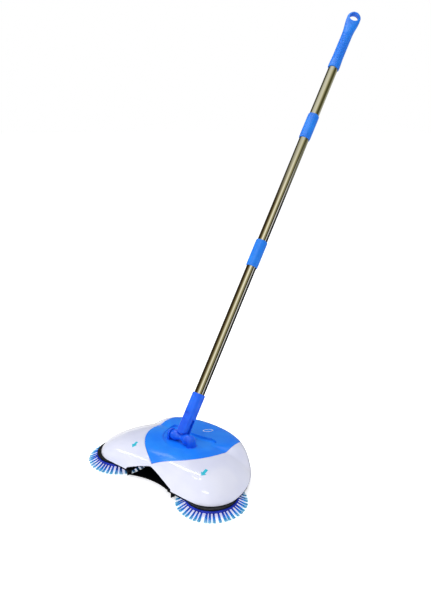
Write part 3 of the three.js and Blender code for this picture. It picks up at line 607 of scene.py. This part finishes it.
def tube(name, node, start, end):
    # a thin round wall whose outer edges are broken
    r, inner = handle["tubeR"], handle["tubeR"] - handle["tubeWall"]
    s = np.linspace(start + handle["edgeAlong"], end - handle["edgeAlong"], 24)
    edgeR = r - handle["edgeIn"]
    profile = [(r, v) for v in s] + [(edgeR, end), (inner, end), (inner, start), (edgeR, start)]
    grid = turnedOnHandle(profile)
    return meshPiece(name, grid, gridFaces(*grid.shape[:2], wrapRows=True, wrapColumns=True),
                     mats["tube"], "handle", [node])


sleeve = {"round": 0.9, "roundRun": 0.8, "groove": 0.35, "grooveAt": 5.5, "grooveRun": 0.7}


def coupler(name, node, span):
    # a sleeve with rounded ends and a shallow groove near each end
    start, end = span
    along = start + np.linspace(0, 1, 60) * (end - start)
    fromEnd = np.minimum(along - start, end - along)
    r = handle["sleeveR"] - sleeve["round"] * np.exp(-fromEnd / sleeve["roundRun"])
    r -= sleeve["groove"] * np.exp(-((fromEnd - sleeve["grooveAt"]) / sleeve["grooveRun"]) ** 2)
    inner = handle["tubeR"] + handle["play"]
    grid = turnedOnHandle(list(zip(r, along)) + [(inner, end), (inner, start)])
    return meshPiece(name, grid, gridFaces(*grid.shape[:2], wrapRows=True, wrapColumns=True),
                     mats["grip"], "handle", [node])


middles = [(a + b) / 2 for a, b in (handle["lowerJoint"], handle["upperJoint"])]
gapHalf = handle["collarHalf"]
tube("lowerTube", "lower_tube", handle["tubeStart"], middles[0] - gapHalf)
tube("middleTube", "middle_tube", middles[0] + gapHalf, middles[1] - gapHalf)
tube("upperTube", "upper_tube", middles[1] + gapHalf, handle["tubeEnd"])
coupler("lowerCoupler", "lower_coupler", handle["lowerJoint"])
coupler("upperCoupler", "upper_coupler", handle["upperJoint"])

gripSizes = {
    "bottom": 895.0, "radius": 12.4, "boreTop": 1012.0,
    "swell": 1.0, "swellFrom": 900.0, "swellTo": 930.0,   # thicker at the lower end
    "lip": 0.9, "lipRun": 0.5,                            # rounding of the lower edge
    "ribFrom": 915.0, "ribTo": 990.0, "ribPitch": 4.6, "ribDepth": 0.9,
    "thin": 3.8, "flatFrom": 990.0,                       # flattened by that much on each side
    "eyeAt": 1035.0, "eyeR": 16.0, "hole": 11.0, "eyeEdge": 0.9,
    "turn": -35.0,                                        # the eye's turn about the handle
}


def gripShape():
    # round below, flattened and widened into a ring at the top; shallow grooves round the held part
    g = gripSizes
    s = np.concatenate([[g["bottom"], g["bottom"] + 0.3, g["bottom"] + 1],
                        np.linspace(g["bottom"] + 2, 1000, 190),
                        np.linspace(1002, g["eyeAt"], 20)[1:],
                        g["eyeAt"] + g["eyeR"] * np.sin(np.linspace(0, pi / 2, 18))[1:]])
    flare = smooth(g["flatFrom"], g["eyeAt"] - 4, s)
    cap = np.sqrt(np.maximum(0, 1 - (np.maximum(0, s - g["eyeAt"]) / g["eyeR"]) ** 2))
    lip = g["lip"] * np.exp(-(s - g["bottom"]) / g["lipRun"])
    inRibs = smooth(g["ribFrom"], g["ribFrom"] + 3, s) * (1 - smooth(g["ribTo"] - 3, g["ribTo"], s))
    wave = 0.5 - 0.5 * np.cos(2 * pi * (s - g["ribFrom"]) / g["ribPitch"])
    swell = g["swell"] * (1 - smooth(g["swellFrom"], g["swellTo"], s))
    thick = g["radius"] + swell - lip - g["ribDepth"] * inRibs * wave ** 2
    wide = (thick + (g["eyeR"] - g["radius"]) * flare) * cap
    deep = (thick - g["thin"] * flare) * np.sqrt(cap)
    a = np.linspace(0, 2 * pi, 72, endpoint=False)
    power = (1 - 0.25 * flare)[:, None]
    x = wide[:, None] * np.sign(np.cos(a)) * np.abs(np.cos(a)) ** power
    n = deep[:, None] * np.sign(np.sin(a)) * np.abs(np.sin(a)) ** power
    outer = np.stack([x, n, np.broadcast_to(s[:, None], x.shape)], -1)
    inner = handle["tubeR"] + handle["play"]
    bore = np.stack([np.stack([r * np.cos(a), r * np.sin(a), np.full_like(a, v)], -1)
                     for r, v in ((0, g["boreTop"]), (inner, g["boreTop"]), (inner, g["bottom"]))])
    return onHandle(aboutHandle(np.concatenate([bore, outer]), g["turn"]))


def eyeCutter(columns=64):
    # a cylinder through the eye, square to the flat of the grip
    g, half = gripSizes, 30
    a = np.linspace(0, 2 * pi, columns, endpoint=False)
    rows = [np.stack([r * np.cos(a), np.full_like(a, n), g["eyeAt"] + r * np.sin(a)], -1)
            for r, n in ((0, -half), (g["hole"], -half), (g["hole"], half), (0, half))]
    grid = onHandle(aboutHandle(np.stack(rows), g["turn"]))
    tool = newObject("eyeCutter", grid.reshape(-1, 3) * mm,
                     gridFaces(*grid.shape[:2], wrapColumns=True).tolist())
    finishMesh(tool)
    return tool


def grip():
    # the grip with its eye cut out, and the edges of the eye broken
    grid = gripShape()
    obj = meshPiece("grip", grid, gridFaces(*grid.shape[:2], wrapColumns=True), mats["grip"],
                    "handle", ["grip"])
    tool = eyeCutter()
    cut = obj.modifiers.new("eye", "BOOLEAN")
    cut.object, cut.operation, cut.solver = tool, "DIFFERENCE", "EXACT"
    depsgraph = bpy.context.evaluated_depsgraph_get()
    result = bpy.data.meshes.new_from_object(obj.evaluated_get(depsgraph))
    obj.modifiers.clear()
    obj.data = result
    bpy.data.objects.remove(tool)
    result.set_sharp_from_angle(angle=radians(40))
    edge = obj.modifiers.new("eyeEdge", "BEVEL")
    edge.width, edge.segments = gripSizes["eyeEdge"] * mm, 3
    edge.limit_method, edge.angle_limit = "ANGLE", radians(50)
    edge.harden_normals = True
    return obj


grip()
print("handle made")


brush = {
    "x": 123.0, "tufts": 44, "filaments": 15, "filamentR": 0.5, "taper": 0.35, "seed": 7,
    "rootR": 49.0, "tipR": 69.6, "rootZ": 8.9, "tipZ": 0.75, "droop": 1.25,
    "shorter": 1.6, "roundEnd": 0.8,                    # uneven tips, and a tuft's rounded end
    "fanRoot": 1.3, "fanMore": 1.9, "fanVary": 0.2,     # half width of a tuft, and more at its tip
    "layer": 0.7,                                       # half thickness of a tuft at its root
    # hub section: (radius, height)
    "hub": [(3.3, 8.6), (9, 8.6), (10, 10.5), (44, 10.5), (45, 8.6), (52, 8.6), (52, 12.9), (3.3, 12.9)],
    "hubEdge": 0.8,
}


def turnedUpright(profile, x, y, columns=96):
    # a closed profile of (radius, height) points turned about an upright axis
    profile = np.asarray(profile, float)
    a = np.linspace(0, 2 * pi, columns, endpoint=False)
    r, z = profile[:, :1], profile[:, 1:]
    heights = np.broadcast_to(z, (len(profile), columns))
    return np.stack([x + r * np.cos(a), y + r * np.sin(a), heights], -1)


def roundedProfile(points, radius, steps=4):
    # each corner of a closed profile becomes a short arc-like curve of that reach
    points = np.asarray(points, float)
    before, after = np.roll(points, 1, 0), np.roll(points, -1, 0)
    out = []
    for p, b, n in zip(points, before, after):
        toB, toN = b - p, n - p
        reach = min(radius, np.linalg.norm(toB) / 2.2, np.linalg.norm(toN) / 2.2)
        start, end = p + toB / np.linalg.norm(toB) * reach, p + toN / np.linalg.norm(toN) * reach
        t = np.linspace(0, 1, steps)[:, None]
        out.append((1 - t) ** 2 * start + 2 * (1 - t) * t * p + t * t * end)
    return np.concatenate(out)


def brushHub(side, name):
    # the hub ring: its rounded section turned about the brush's axis
    grid = turnedUpright(roundedProfile(brush["hub"], brush["hubEdge"]), side * brush["x"], 0)
    # the hub's dark blue is painted shade laid on the joint's blue plastic
    return meshPiece(f"brushHub_{name}", grid,
                     gridFaces(*grid.shape[:2], wrapRows=True, wrapColumns=True),
                     mats["hubPaintedShade"], f"brush_{name}", [f"brush_hub_{name}"])


def bristles(side, name):
    # each tuft is a flat fan of filaments; a filament is a three-sided tube that leaves the hub's
    # edge, droops to the floor and spreads sideways; along runs from 0 at its root to 1 at its tip
    draw = np.random.default_rng(brush["seed"] + (side > 0))
    tufts, strands = brush["tufts"], brush["filaments"]
    count = tufts * strands
    tuft = np.repeat(np.arange(tufts), strands)
    across = np.tile(np.linspace(-1, 1, strands), tufts) + draw.normal(0, 0.08, count)
    layer = draw.uniform(-1, 1, count)[:, None]
    short = draw.uniform(0, brush["shorter"], count) + brush["roundEnd"] * across ** 2
    length = brush["tipR"] - brush["rootR"] - short
    base = 2 * pi * (tuft + 0.5) / tufts + np.repeat(draw.normal(0, 0.012, tufts), strands)
    spread = brush["fanMore"] + brush["fanVary"] * draw.normal(0, 1, count)
    rings, corners = 6, 3
    t = np.linspace(0, 1, rings)[None, :]
    r = brush["rootR"] + length[:, None] * t
    half = brush["fanRoot"] + spread[:, None] * t ** 1.2
    angle = base[:, None] + across[:, None] * half / r
    lift = brush["rootZ"] - brush["tipZ"] + brush["layer"] * layer
    z = brush["tipZ"] + lift * (1 - t) ** brush["droop"] + 0.5 * (layer + 1) * t * (1 - t)
    centre = np.stack([r * np.cos(angle), r * np.sin(angle), z], -1)
    way = np.gradient(centre, axis=1)
    way /= np.linalg.norm(way, axis=-1, keepdims=True)
    sideWay = np.cross(way, np.array([0, 0, 1.0]))
    sideWay /= np.linalg.norm(sideWay, axis=-1, keepdims=True)
    upWay = np.cross(sideWay, way)
    turn = np.linspace(0, 2 * pi, corners, endpoint=False)[None, None, :, None]
    radius = (brush["filamentR"] * (1 - brush["taper"] * t))[..., None, None]
    points = centre[:, :, None] + radius * (np.cos(turn) * sideWay[:, :, None]
                                            + np.sin(turn) * upWay[:, :, None])
    points[..., 2] = np.maximum(points[..., 2], 0.05)   # stays above the floor
    points += np.array([side * brush["x"], 0, 0])
    offsets = np.arange(count)[:, None, None] * rings * corners
    quads = (gridFaces(rings, corners, wrapColumns=True)[None] + offsets).reshape(-1, 4).tolist()
    last = (rings - 1) * corners
    caps = np.array([(2, 1, 0), (last, last + 1, last + 2)])
    ends = (caps[None] + offsets).reshape(-1, 3).tolist()
    obj = newObject(f"brushTufts_{name}", points.reshape(-1, 3) * mm, quads + ends)
    mesh = obj.data
    # along drives the colour ramp, whose pale tips are painted light
    shade = np.broadcast_to(t[..., None], (count, rings, corners))
    shade = np.clip(shade + draw.normal(0, 0.05, count)[:, None, None], 0, 1)
    along = mesh.attributes.new("along", "FLOAT", "POINT")
    along.data.foreach_set("value", shade.astype(np.float32).ravel())
    work = bmesh.new()
    work.from_mesh(mesh)
    bmesh.ops.recalc_face_normals(work, faces=work.faces)
    work.to_mesh(mesh)
    work.free()
    mesh.shade_smooth()
    mesh.materials.append(mats["nylon"])
    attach(obj, f"brush_{name}")
    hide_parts(f"bristles_{name}")
    return obj


for name, side in (("left", -1), ("right", 1)):
    brushHub(side, name)
    bristles(side, name)
print("brushes made")


prints = {
    "film": 0.12, "sunk": 0.25,   # top of the ink above the dome, and its underside below it
    "barb": 0.62,                 # length of an arrow's head over its width
    "arrowRight": {"tip": (105.4, -8.6), "tail": (103.2, 10.2), "headWide": 12.5, "shaftWide": 5.8},
    "arrowLeft": {"tip": (-67.9, -20.8), "tail": (-69.2, -5.2), "headWide": 13.0, "shaftWide": 5.6},
    "oval": {"middle": (10.7, 123.4), "long": 10.5, "short": 5.0, "band": 1.5, "turn": 56.0},
}


def domePoint(x, y, lift):
    # a plan point on the dome, lifted by so much
    way = np.arctan2(y - head["crestY"], np.abs(x))
    share = np.hypot(x, y - head["crestY"]) / np.interp(way, ways, outlineReach)
    point = dome(way, share)
    point[..., 0] *= np.sign(x)
    point[..., 2] += lift
    return point


def arrow(name, tip, tail, headWide, shaftWide):
    # barbed arrow drawn in plan along its own axis, laid on the wing as a fine grid of strips
    tip, tail = np.array(tip, float), np.array(tail, float)
    long = np.linalg.norm(tip - tail)
    ahead = (tip - tail) / long
    across = np.array([ahead[1], -ahead[0]])
    headLong = headWide * prints["barb"]
    shaft, barb = np.linspace(0, long - headLong, 12), np.linspace(long - headLong, long, 14)
    t = np.concatenate([shaft, barb])
    width = np.concatenate([np.full_like(shaft, shaftWide / 2), headWide / 2 * (long - barb) / headLong])
    strips = 8
    w = np.linspace(-1, 1, strips + 1)
    plan = tail + t[:, None, None] * ahead + (width[:, None] * w)[..., None] * across
    top = domePoint(plan[..., 0], plan[..., 1], prints["film"])
    under = domePoint(plan[..., 0], plan[..., 1], -prints["sunk"])
    grid = np.concatenate([top, under[:, ::-1]], 1)
    columns = grid.shape[1]
    strip = np.arange(strips)
    startCap = np.stack([strip, columns - 1 - strip, columns - 2 - strip, strip + 1], -1)
    endCap = startCap + (len(t) - 1) * columns
    faces = np.concatenate([gridFaces(*grid.shape[:2], wrapColumns=True), startCap, endCap])
    return meshPiece(name, grid, faces, mats["ink"], "body")


def ovalPrint():
    # a plain pale oval ring on the cover: an ellipse carried round by a band of steady width
    oval = prints["oval"]
    turn = radians(oval["turn"])
    a = np.linspace(0, 2 * pi, 72, endpoint=False)
    grow = oval["band"] * np.array([-0.5, 0, 0.5])[:, None]
    u, v = (oval["long"] + grow) * np.cos(a), (oval["short"] + grow) * np.sin(a)
    x = oval["middle"][0] + u * cos(turn) - v * sin(turn)
    y = oval["middle"][1] + u * sin(turn) + v * cos(turn)
    top, under = domePoint(x, y, prints["film"]), domePoint(x, y, -prints["sunk"])
    grid = np.concatenate([top, under[::-1]])
    return meshPiece("ovalPrint", grid, gridFaces(*grid.shape[:2], wrapRows=True, wrapColumns=True),
                     mats["paleInk"], "body")


arrow("arrowPrint_right", **prints["arrowRight"])
arrow("arrowPrint_left", **prints["arrowLeft"])
ovalPrint()
print("prints made")


sides = ("left", "right")
for name in sides:
    nodeCopy(f"tyre_{name}", f"tyre_{name}Moulded", mats["rubber"], f"wheel_{name}", 0.5)
    nodeCopy(f"wheel_hub_{name}", f"wheelHub_{name}", mats["deepBlue"], f"wheel_{name}",
             0.4)
    nodeCopy(f"rear_glide_{name}", f"rearGlide_{name}", mats["rubber"], "body", 0.5)

finishOf = {
    "steel": ["tilt_pin", "base_screw_1", "base_screw_2", "base_screw_3", "base_screw_4",
              "bracket_screw_1", "bracket_screw_2"]
             + [f"{part}_{name}" for name in sides
                for part in ("wheel_axle", "crown_pin", "idler_pin", "brush_shaft", "brush_screw")],
    "acetal": ["lower_thread_plug", "upper_thread_plug"]
              + [f"{part}_{name}" for name in sides
                 for part in ("drive_pinion", "crown_gear", "idler_gear", "brush_gear", "brush_bush")],
    "black": ["gear_plate_left", "gear_plate_right"],
    "deepBlue": ["fork_pin"],
}
for finish, nodes in finishOf.items():
    for node in nodes:
        frame["nodes"][node].data.materials.clear()
        frame["nodes"][node].data.materials.append(mats[finish])
print("running gear finished")


stage = {
    "floorHalf": 12.0, "floorColour": "#fafbfd", "floorGlow": 0.56,
    "skyColour": "#eef0f8", "skyStrength": 0.6,
    "lens": 39, "sensor": 36, "cameraAt": (0.7977, -0.8082, 0.7326), "cameraTurn": (72.342, 0, 39.45),
    # lights in metres: start and end of the long middle line, thickness, watts, rays that see them
    "aim": (0, 0.1, 0.05),
    "lights": {
        "overhead": ((-1.0, -0.1, 2.4), (1.2, -0.1, 2.4), 1.8, 26, "diffuse"),
        "leftFill": ((-2.3, -0.9, 1.3), (-1.2, -2.1, 1.3), 1.2, 22, "diffuse"),
        "longStrip": ((-1.03, 0.12, 1.95), (-0.42, 0.72, 2.0), 0.05, 3.2, "gloss"),
        "shortStrip": ((-0.6, 0.0, 2.0), (-0.2, 0.42, 2.05), 0.03, 1.2, "gloss"),
        "frontCard": ((0.25, -0.72, 2.0), (0.58, -0.45, 2.0), 0.1, 2.4, "gloss"),
        "leftCard": ((-1.62, -0.8, 1.12), (-1.42, -1.05, 1.16), 0.06, 1.0, "gloss"),
        "coverCard": ((-1.35, 0.45, 1.5), (-1.05, 0.9, 1.6), 0.3, 1.2, "gloss"),
    },
    # what polished metal mirrors round the handle: degrees from +X towards the front, and a colour;
    # the high bands take over from the low ones over this stretch of the climb along the handle
    "climb": (0.36, 0.46),
    "lowBands": [(-180, "#1a1a18"), (-165, "#b4b2a2"), (-145, "#f4f2e8"), (-124, "#8d8b7c"),
                 (-108, "#22221e"), (-92, "#050504"), (-60, "#050504"), (-46, "#0c0c0c"),
                 (-40, "#8a8c90"), (-36, "#1a1a1a"), (-26, "#2a2a28"), (-21, "#ffffff"),
                 (-12, "#ffffff"), (-7, "#14130d"), (12, "#2c2917"), (24, "#857f5c"),
                 (48, "#b0aa88"), (60, "#fffbe6"), (78, "#fffbe6"), (90, "#b9b089"),
                 (112, "#5d5335"), (140, "#3a2c1a"), (165, "#0c0a07"), (179, "#050504")],
    "highBands": [(-180, "#1c1c16"), (-110, "#8b8c84"), (-60, "#b0b09c"), (-40, "#77765a"),
                  (-20, "#4b4a2c"), (12, "#4f4d2d"), (26, "#8b8867"), (44, "#b9b592"),
                  (64, "#dddbc4"), (100, "#dcdbcb"), (122, "#c9c8b4"), (150, "#6f6e55"),
                  (170, "#23231a"), (179, "#1c1c16")],
}


def studioFloor():
    # a large pale disc just under the object, with a glow that keeps it white
    a = np.linspace(0, 2 * pi, 96, endpoint=False)
    half = stage["floorHalf"]
    ring = np.stack([half * np.cos(a), 0.2 + half * np.sin(a), np.full_like(a, -0.0002)], -1)
    obj = newObject("studioFloor", ring, [list(range(len(ring)))])
    material = newMaterial("paleSeamlessPaper", {
        "Roughness": 0.9, "Base Color": linear(stage["floorColour"]),
        "Emission Color": (1, 1, 1, 1), "Emission Strength": stage["floorGlow"]})[0]
    obj.data.materials.append(material)
    obj.visible_glossy = False


def around(world, direction):
    # angle of a direction about the handle's axis, 0 at +X and 90 forward and up, as 0 to 1
    turned = addNode(world, "VectorRotate", {"rotation_type": "X_AXIS", "Angle": lean},
                     {"Vector": direction})
    parts = addNode(world, "SeparateXYZ", None, {0: turned.outputs[0]})
    back = addNode(world, "Math", {"operation": "MULTIPLY", 1: -1.0}, {0: parts.outputs["Y"]})
    angle = addNode(world, "Math", {"operation": "ARCTAN2"}, {0: back.outputs[0], 1: parts.outputs["X"]})
    share = addNode(world, "MapRange", {"From Min": -pi, "From Max": pi}, {"Value": angle.outputs[0]})
    return share.outputs[0], parts.outputs["Z"]


def flags(world, share, bands):
    # dark flags and bright cards beside the handle, by their angle about it
    return colourRamp(world, share, [((degrees + 180) / 360, colour) for degrees, colour in bands])


def studioWorld():
    # even pale light all round; only mirrored rays see the flags that draw dark edges on the tubes
    world = bpy.data.worlds.new("studio")
    bpy.context.scene.world = world
    world.use_nodes = True
    tree = world.node_tree
    tree.nodes.clear()
    output = tree.nodes.new("ShaderNodeOutputWorld")
    share, along = around(world, addNode(world, "TexCoord").outputs["Generated"])
    low = flags(world, share, stage["lowBands"])
    high = flags(world, share, stage["highBands"])
    start, end = stage["climb"]
    climb = addNode(world, "MapRange", {"From Min": start, "From Max": end}, {"Value": along})
    mirrored = addNode(world, "Mix", {"data_type": "RGBA"}, {0: climb.outputs[0], 6: low, 7: high})
    even = addNode(world, "Background", {"Strength": stage["skyStrength"],
                                         "Color": linear(stage["skyColour"])})
    gloss = addNode(world, "Background", {"Strength": 1.0}, {"Color": mirrored.outputs[2]})
    seen = addNode(world, "Background", {"Strength": 1.0, "Color": (1, 1, 1, 1)})
    ray = addNode(world, "LightPath")
    lit = addNode(world, "MixShader", None,
                  {0: ray.outputs["Is Glossy Ray"], 1: even.outputs[0], 2: gloss.outputs[0]})
    choose = addNode(world, "MixShader", None,
                     {0: ray.outputs["Is Camera Ray"], 1: lit.outputs[0], 2: seen.outputs[0]})
    tree.links.new(choose.outputs[0], output.inputs["Surface"])


def softbox(name, start, end, thick, watts, rays):
    # a rectangular light whose long middle line runs from start to end and that faces the aim
    start, end = Vector(start), Vector(end)
    middle = (start + end) / 2
    data = bpy.data.lights.new(name, "AREA")
    data.shape, data.size, data.size_y = "RECTANGLE", (end - start).length, thick
    data.energy = watts
    obj = bpy.data.objects.new(name, data)
    long = (end - start).normalized()
    away = (middle - Vector(stage["aim"])).normalized()
    across = away.cross(long).normalized()
    away = long.cross(across)
    obj.matrix_world = Matrix((long, across, away)).transposed().to_4x4()
    obj.location = middle
    obj.visible_diffuse = rays == "diffuse"
    obj.visible_glossy = rays == "gloss"
    bpy.context.collection.objects.link(obj)


def sparesTubes():
    # the gloss lights leave out the tubes, so these mirror nothing but the flags
    tubes = {"lowerTube", "middleTube", "upperTube"}
    group = bpy.data.collections.new("allButTubes")
    for obj in bpy.data.objects:
        if obj.type == "MESH" and obj.name not in tubes:
            group.objects.link(obj)
    for light in bpy.data.objects:
        if light.type == "LIGHT" and not light.visible_diffuse:
            light.light_linking.receiver_collection = group


def camera():
    data = bpy.data.cameras.new("camera")
    data.lens, data.sensor_width = stage["lens"], stage["sensor"]
    obj = bpy.data.objects.new("camera", data)
    obj.location = stage["cameraAt"]
    obj.rotation_euler = Euler([radians(angle) for angle in stage["cameraTurn"]])
    bpy.context.collection.objects.link(obj)
    bpy.context.scene.camera = obj


studioFloor()
studioWorld()
for name, values in stage["lights"].items():
    softbox(name, *values)
sparesTubes()
camera()
bpy.context.scene.view_settings.view_transform = "Standard"
print("stage set")
